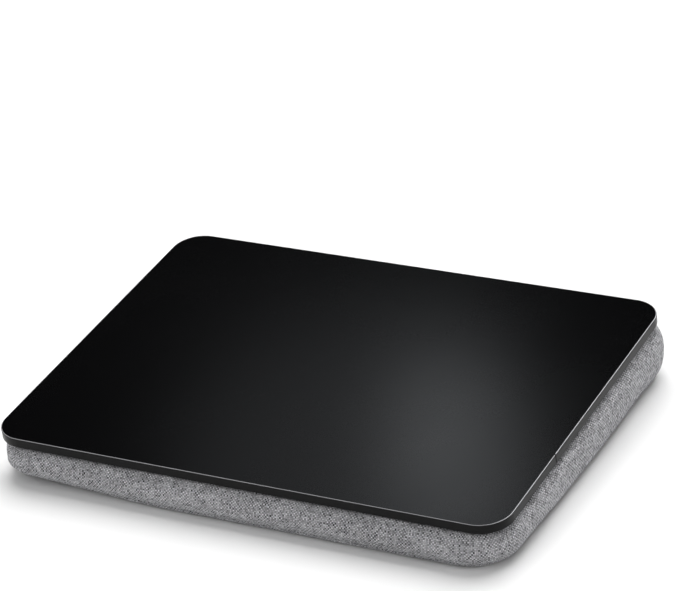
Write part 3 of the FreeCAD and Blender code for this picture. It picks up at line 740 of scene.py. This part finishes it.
def twisted_thread(name, dark, light):
    """Sewing thread."""
    g = Graph(name, Specular_IOR_Level=0.3, Sheen_Weight=0.2)
    twist = g.noise(g.place(), scale=3200, detail=2)
    g.colour(g.blend(g.spread(twist), grey(dark), grey(light)))
    g.roughness(g.spread(twist, 0.6, 0.8))
    g.bump(twist, distance=0.06 * MM, strength=0.6)
    return g.material


def dress(item, material):
    """Give an object one material."""
    item.data.materials.clear()
    item.data.materials.append(material)


cover_fabric = melange_weave("cover_fabric", dark=0.01, light=0.76, pitch=1.3 * MM)

# How tightly each soft piece is filled.
COVER_FILL = 0.8
WADDING_FILL = 0.7
FOAM_FILL = 0.9


def seat(item, slot, fill, *nodes):
    """A soft piece of the cushion: it rides on the tray and stands for these nodes."""
    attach(item, "tray")
    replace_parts(item, *nodes)


# Cover
wall = pucker(simulated_wall())
wall_normals = grid_normals(wall)
last_row = len(SHARES) - 1
band_columns = np.arange(STRIP_END, COLUMNS + STRIP_START + 1) % COLUMNS
strip_columns = np.arange(STRIP_START, STRIP_END + 1)
strips = (
    ("side_band", "cover_side_band", (SEAM_ROW, last_row), band_columns),
    ("back_strip_upper", "cover_back_upper", (ZIP_HIGH_ROW, last_row), strip_columns),
    ("back_strip_lower", "cover_back_lower", (SEAM_ROW, ZIP_LOW_ROW), strip_columns),
)
for name, node, rows, columns in strips:
    strip = cover_strip(name, wall, wall_normals, rows, columns)
    dress(strip, cover_fabric)
    seat(strip, "cover_fabric", COVER_FILL, node)

bottom = floor_panel(wall, wall_normals)
dress(bottom, cover_fabric)
seat(bottom, "cover_fabric", COVER_FILL, "cover_bottom_panel")

lining = lining_panel(wall)
dress(lining, speckled("lining", dark=0.03, light=0.07, scale=1400, roughness=0.85, depth=0.1 * MM))
seat(lining, "lining", COVER_FILL, "cover_top_panel")

# Filling, inside the cover
WRAP_INSET = 2.2 * MM
ZIP_RELIEF = 2.4 * MM
FOAM_INSET = 19.5 * MM
FOAM_ROUNDING = 2 * MM
# Levels of the foam's rows, as shares of the wall's height. Its first and last row are rounded off.
FOAM_SHARES = (0.17, 0.2, 0.35, 0.5, 0.65, 0.77, 0.8)

wrap_grid = wall - wall_normals * WRAP_INSET
wrap_grid[GAP_ROWS, strip_columns] -= wall_normals[GAP_ROWS, strip_columns] * ZIP_RELIEF
wrap_grid[0, :, 2] = wall[0, :, 2] + WRAP_INSET
wrap_grid[-1] = wall[-1] - np.array((0, 0, WRAP_INSET + WELL_DEPTH))
wrap = closed_form("wadding_wrap", wrap_grid)
dress(wrap, speckled("wadding", dark=0.55, light=0.8, scale=700, roughness=0.95, depth=0.4 * MM))
seat(wrap, "wadding", WADDING_FILL, "upper_wadding", "lower_wadding")

foam_insets = [FOAM_INSET] * len(FOAM_SHARES)
foam_insets[0] += FOAM_ROUNDING
foam_insets[-1] += FOAM_ROUNDING
foam_grid = np.array([level_points(share, inset) for share, inset in zip(FOAM_SHARES, foam_insets)])
foam = closed_form("foam_core", foam_grid)
dress(foam, speckled("foam", dark=0.5, light=0.75, scale=1100, roughness=0.95, depth=0.5 * MM, warm=0.93))
seat(foam, "foam", FOAM_FILL, "foam_wedge")

# Zip tapes
TAPE_INSET = 1.45 * MM
GUARD_INSET = 4.1 * MM
TAPE_THICKNESS = 0.45 * MM
TAPE_ROWS = 6

tape_finish = ribbed_tape("zip_tape", dark=0.03, light=0.09, pitch=0.8 * MM)


def back_tape(name, low, high, inset):
    """A woven tape behind the back wall, between two levels."""
    levels = np.linspace(low, high, TAPE_ROWS) / BACK_CLIMB
    grid = np.array([level_points(share, draw_at(share) + inset)[strip_columns] for share in levels])
    tape = new_object(name, grid.reshape(-1, 3), grid_faces(*grid.shape[:2]))
    add_weave(tape, weave_of(grid).reshape(-1, 2))
    give_thickness(tape, TAPE_THICKNESS, 0)
    dress(tape, tape_finish)
    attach(tape, "tray")
    return tape


for node in ("zip_tape_upper", "zip_tape_lower"):
    node_low, node_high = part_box(node)
    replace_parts(back_tape("woven_" + node, node_low.z, node_high.z, TAPE_INSET), node)
# A guard behind the teeth keeps the filling out of the zip.
back_tape("zip_guard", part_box("zip_tape_lower")[0].z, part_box("zip_tape_upper")[1].z, GUARD_INSET)

# Topstitching along both edges of the zip's gap, one stitch to a column.
STITCH_FROM_EDGE = 3 * MM
STITCH_RADIUS = 0.22 * MM
STITCH_RISE = 0.24 * MM
# A stitch's ends are thinner by this share of its radius, and stop short of its column by this share.
STITCH_TAPER = 0.4
STITCH_GAP = 0.14
STITCH_RINGS = 5
STITCH_SIDES = 6

thread = twisted_thread("thread", dark=0.08, light=0.2)


def stitch_points(start, end, out):
    """Rings of points of one stitch, which arches over the cloth and dips into it at its ends."""
    along = unit(end - start)
    side = np.cross(out, along)
    rings = []
    for ring in range(STITCH_RINGS):
        share = ring / (STITCH_RINGS - 1)
        arch = math.sin(math.pi * share)
        centre = start + (end - start) * share + out * STITCH_RISE * (2 * arch - 1)
        radius = STITCH_RADIUS * (1 - STITCH_TAPER * (1 - arch))
        for corner in range(STITCH_SIDES):
            angle = 2 * math.pi * corner / STITCH_SIDES
            rings.append(centre + radius * (math.cos(angle) * side + math.sin(angle) * out))
    return rings


def stitch_faces(first):
    """Faces of one stitch whose points begin at that index."""
    faces = []
    for ring in range(STITCH_RINGS - 1):
        low = first + ring * STITCH_SIDES
        high = low + STITCH_SIDES
        for corner in range(STITCH_SIDES):
            following = (corner + 1) % STITCH_SIDES
            faces.append((low + corner, high + corner, high + following, low + following))
    faces.append(tuple(range(first, first + STITCH_SIDES)))
    last = first + (STITCH_RINGS - 1) * STITCH_SIDES
    faces.append(tuple(reversed(range(last, last + STITCH_SIDES))))
    return faces


def topstitching(name, edge_row, next_row):
    """A row of stitches on the back wall, beside the edge at that row."""
    edge = wall[edge_row, strip_columns]
    away = unit(wall[next_row, strip_columns] - edge)
    line = edge + away * STITCH_FROM_EDGE
    out = wall_normals[edge_row, strip_columns]
    points = []
    faces = []
    for column in range(1, len(line) - 2):
        step = line[column + 1] - line[column]
        start = line[column] + STITCH_GAP * step
        end = line[column] + (1 - STITCH_GAP) * step
        faces.extend(stitch_faces(len(points)))
        points.extend(stitch_points(start, end, out[column]))
    item = new_object(name, points, faces)
    dress(item, thread)
    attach(item, "tray")


topstitching("stitches_upper", ZIP_HIGH_ROW, ZIP_HIGH_ROW + 1)
topstitching("stitches_lower", ZIP_LOW_ROW, ZIP_LOW_ROW - 1)

# CAD pieces that keep their shape
fibreboard = speckled(
    "fibreboard", dark=0.2, light=0.34, scale=900, roughness=0.85, depth=0.1 * MM, warm=0.78
)
top_film = satin_film("top_film", dark=0.0007, light=0.0013, roughness=0.27, specular=0.3)
under_film = satin_film("under_film", dark=0.006, light=0.01, roughness=0.5, specular=0.3)
# The edging's pale tone of 0.75 is its painted highlight.
edging = grained_edging("edging", dark=0.002, light=0.005, highlight_tone=0.75)
hook_tape = speckled("hook_tape", dark=0.01, light=0.03, scale=1500, roughness=0.8, depth=0.3 * MM)
loop_tape = speckled("loop_tape", dark=0.015, light=0.045, scale=2200, roughness=0.9, depth=0.3 * MM)
zip_paint = painted_metal("zip_paint", dark=0.03, light=0.07)
zip_plastic = speckled(
    "zip_plastic", dark=0.03, light=0.05, scale=1200, roughness=0.42, depth=0.02 * MM, specular=0.5
)
finishes = {
    "board_core": fibreboard,
    "top_laminate": top_film,
    "underside_laminate": under_film,
    "edge_band": edging,
    "hook_strips": hook_tape,
    "loop_strips": loop_tape,
    "zip_slider": zip_paint,
    "zip_pull": zip_paint,
    "zip_teeth_upper": zip_plastic,
    "zip_teeth_lower": zip_plastic,
    "zip_top_stops": zip_plastic,
    "zip_bottom_stop": zip_plastic,
}
for node, material in finishes.items():
    dress(frame["nodes"][node], material)


# Stage
FLOOR_HALF = 30.0
FLOOR_DROP = 0.3 * MM
FLOOR_CORNERS = ((-1, -1), (1, -1), (1, 1), (-1, 1))


def pale_floor():
    """Pale matt floor with faint clouds."""
    g = Graph("pale_floor", Specular_IOR_Level=0.1)
    place = g.place()
    g.colour(g.blend(g.noise(place, scale=6, detail=2), grey(0.83, tint=1.0), grey(0.86, tint=1.0)))
    g.roughness(g.spread(g.noise(place, scale=40, detail=2), 0.75, 0.85))
    return g.material


floor_points = [(x * FLOOR_HALF, y * FLOOR_HALF, -FLOOR_DROP) for x, y in FLOOR_CORNERS]
floor = new_object("floor", floor_points, [(0, 1, 2, 3)])
dress(floor, pale_floor())


def add_light(name, kind, place, target, energy, diffuse=True, glossy=True, **settings):
    """A light at a place, turned to a target, for diffuse shading, for gloss or for both."""
    lamp = bpy.data.lights.new(name, kind)
    lamp.energy = energy
    for key, value in settings.items():
        setattr(lamp, key, value)
    item = bpy.data.objects.new(name, lamp)
    item.location = place
    item.rotation_euler = (Vector(target) - Vector(place)).to_track_quat("-Z", "Y").to_euler()
    item.visible_camera = False
    item.visible_diffuse = diffuse
    item.visible_glossy = glossy
    bpy.context.scene.collection.objects.link(item)


ORIGIN = (0, 0, 0)
CENTRE = (0, 0, 0.03)
# Two wide suns and two fills shade the cloth and the floor, and don't show on the glossy board.
for name, place, energy, angle in (
    ("back_sky", (-0.15, 0.8, 1.0), 4.1, 60),
    ("front_sky", (-0.45, -0.8, 1.0), 1.2, 70),
):
    add_light(name, "SUN", place, ORIGIN, energy, glossy=False, angle=math.radians(angle))
for name, place, energy, form in (
    ("front_low", (-0.75, -0.9, 0.06), 1.5, {"shape": "RECTANGLE", "size": 0.8, "size_y": 0.1}),
    ("right_fill", (2.6, -0.1, 1.0), 20, {"shape": "DISK", "size": 1.0}),
):
    add_light(name, "AREA", place, CENTRE, energy, glossy=False, **form)

# Three lamps that show only as gloss brighten the board's arris.
for name, place, energy, size in (
    ("front_arris", (-0.9, -1.06, 1.44), 14, 0.7),
    ("corner_arris", (0.98, -0.34, 1.71), 12, 1.1),
    ("right_arris", (1.06, 1.44, 0.89), 3, 0.7),
):
    add_light(name, "AREA", place, CENTRE, energy, diffuse=False, shape="DISK", size=size)

# Two small lamps and a broad one give the board its patch of sheen.
COOL = (0.92, 0.96, 1.0)
SHEEN_SPOT = (0.15, -0.03, 0.045)
for name, place, energy, size in (
    ("sheen_near", (-0.14, 0.355, 0.466), 0.035, 0.12),
    ("sheen_middle", (-0.15, 0.43, 0.462), 0.055, 0.12),
    ("sheen_broad", (-0.27, 0.43, 0.6), 0.17, 0.4),
):
    add_light(name, "AREA", place, SHEEN_SPOT, energy, diffuse=False, shape="DISK", size=size, color=COOL)

SURROUNDINGS = 0.02
BACKDROP = 1.0


def studio_world():
    """Dim surroundings for light and gloss, and a pale backdrop for the eye."""
    world = bpy.data.worlds.new("studio")
    world.use_nodes = True
    nodes = world.node_tree.nodes
    links = world.node_tree.links
    dim = nodes["Background"]
    dim.inputs["Color"].default_value = (1.0, 0.98, 0.96, 1)
    dim.inputs["Strength"].default_value = SURROUNDINGS
    backdrop = nodes.new("ShaderNodeBackground")
    backdrop.inputs["Color"].default_value = (1, 1, 1, 1)
    backdrop.inputs["Strength"].default_value = BACKDROP
    path = nodes.new("ShaderNodeLightPath")
    mix = nodes.new("ShaderNodeMixShader")
    links.new(path.outputs["Is Camera Ray"], mix.inputs[0])
    links.new(dim.outputs[0], mix.inputs[1])
    links.new(backdrop.outputs[0], mix.inputs[2])
    links.new(mix.outputs[0], nodes["World Output"].inputs["Surface"])
    bpy.context.scene.world = world


studio_world()
bpy.context.scene.view_settings.view_transform = "Standard"

# Camera, solved from the board's four edges in the photograph.
CAMERA_PLACE = Vector((1.0923, -1.8420, 1.2383))
CAMERA_AIM = Vector((-0.0422, 0.0982, 0.0525))
CAMERA_ROLL = math.radians(-6.37)
LENS = 168.9
SENSOR_WIDTH = 36

lens = bpy.data.cameras.new("camera")
lens.lens = LENS
lens.sensor_width = SENSOR_WIDTH
camera = bpy.data.objects.new("camera", lens)
aim = (CAMERA_AIM - CAMERA_PLACE).to_track_quat("-Z", "Y").to_matrix().to_4x4()
camera.matrix_world = Matrix.Translation(CAMERA_PLACE) @ aim @ Matrix.Rotation(CAMERA_ROLL, 4, "Z")
bpy.context.scene.collection.objects.link(camera)
bpy.context.scene.camera = camera
